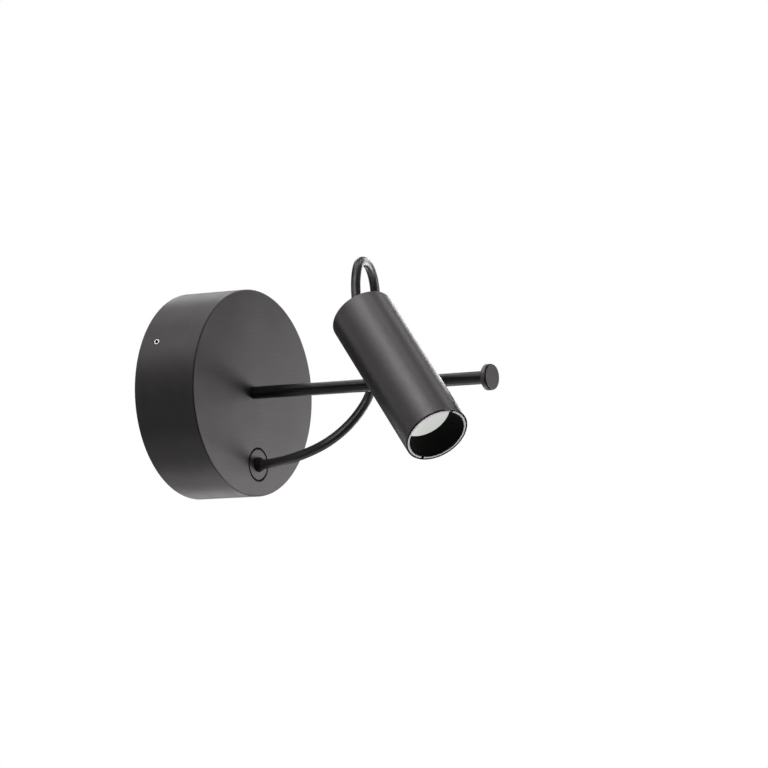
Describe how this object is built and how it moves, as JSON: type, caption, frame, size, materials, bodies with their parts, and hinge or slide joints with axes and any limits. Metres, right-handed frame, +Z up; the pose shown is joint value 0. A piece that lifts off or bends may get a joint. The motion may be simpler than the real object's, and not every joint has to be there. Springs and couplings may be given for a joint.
{
  "type": "pivoting spotlight wall light",
  "caption": "Wall spotlight with a drum canopy and a straight rod, whose cylindrical head slides, swings and tilts, fed by a looped cord.",
  "frame": {"origin": "centre of the wall plate's rear face, on the wall", "axes": "+Z up, +Y into the wall, the rod points along -Y"},
  "size_m": [0.1377, 0.2274, 0.1448],
  "materials": {
    "graphite_metal": "satin dark graphite, finely brushed on the flat faces",
    "rod_finish": "glossy black",
    "zinc_steel": "zinc plated",
    "bright_steel": "bright",
    "black_steel": "blackened",
    "black_rubber": "satin",
    "driver_plastic": "matt",
    "white_nylon": "satin",
    "brown_wire": "satin",
    "green_wire": "satin",
    "bare_aluminium": "satin",
    "matt_black": "matt black",
    "frosted_lens": "frosted",
    "board_white": "satin",
    "phosphor": "gloss"
  },
  "bodies": {
    "root": {"wall_plate": "zinc_steel", "canopy": "graphite_metal", "drum_screws": "bright_steel", "driver": "driver_plastic", "driver_screws": "zinc_steel", "terminal_block": "white_nylon", "terminal_screws": "bright_steel", "block_screws": "zinc_steel", "earth_screw": "bright_steel", "earth_washer": "zinc_steel", "mains_leads": "brown_wire", "earth_lead": "green_wire", "rod": "rod_finish", "rod_washer": "zinc_steel", "rod_nut": "zinc_steel", "end_knob": "graphite_metal", "cable_outlet": "graphite_metal", "outlet_nut": "zinc_steel", "outlet_grommet": "black_rubber", "inner_lead": "black_rubber", "cable_lower": "black_rubber"},
    "carriage": {"slider_sleeve": "white_nylon", "sleeve_ring": "bright_steel", "cable_middle": "black_rubber"},
    "collar": {"pivot_block": "graphite_metal", "friction_pad": "white_nylon", "friction_screw": "bright_steel", "pivot_bolt": "bright_steel", "friction_washer": "white_nylon", "spring_washer": "bright_steel", "cable_upper": "black_rubber"},
    "head": {"head_tube": "graphite_metal", "outer_saddle": "graphite_metal", "inner_saddle": "zinc_steel", "front_ring": "bare_aluminium", "baffle": "matt_black", "lens": "frosted_lens", "lens_gasket": "black_rubber", "reflector": "bare_aluminium", "led_holder": "white_nylon", "led_chip": "phosphor", "led_board": "board_white", "led_screws": "bright_steel", "heat_sink": "bare_aluminium", "sink_screws": "black_steel", "rear_cap": "graphite_metal", "rear_grommet": "black_rubber", "cord_stop": "bright_steel", "head_lead": "black_rubber"}
  },
  "joints": [
    {"name": "rod_slide", "type": "slide", "parent": "root", "child": "carriage", "axis": [0, -1, 0], "range_m": [-0.035, 0.035], "deforming": ["cable_lower"]},
    {"name": "rod_swing", "type": "hinge", "parent": "carriage", "child": "collar", "pos_m": [0, -0.167, 0], "axis": [0, 1, 0], "range_deg": [-56.3, 58.7], "deforming": ["cable_middle"]},
    {"name": "head_tilt", "type": "hinge", "parent": "collar", "child": "head", "pos_m": [-0.03048, -0.167, 0.01506], "axis": [-0.8965, 0, 0.4431], "range_deg": [-70.6, 49.4], "deforming": ["cable_upper"]}
  ]
}
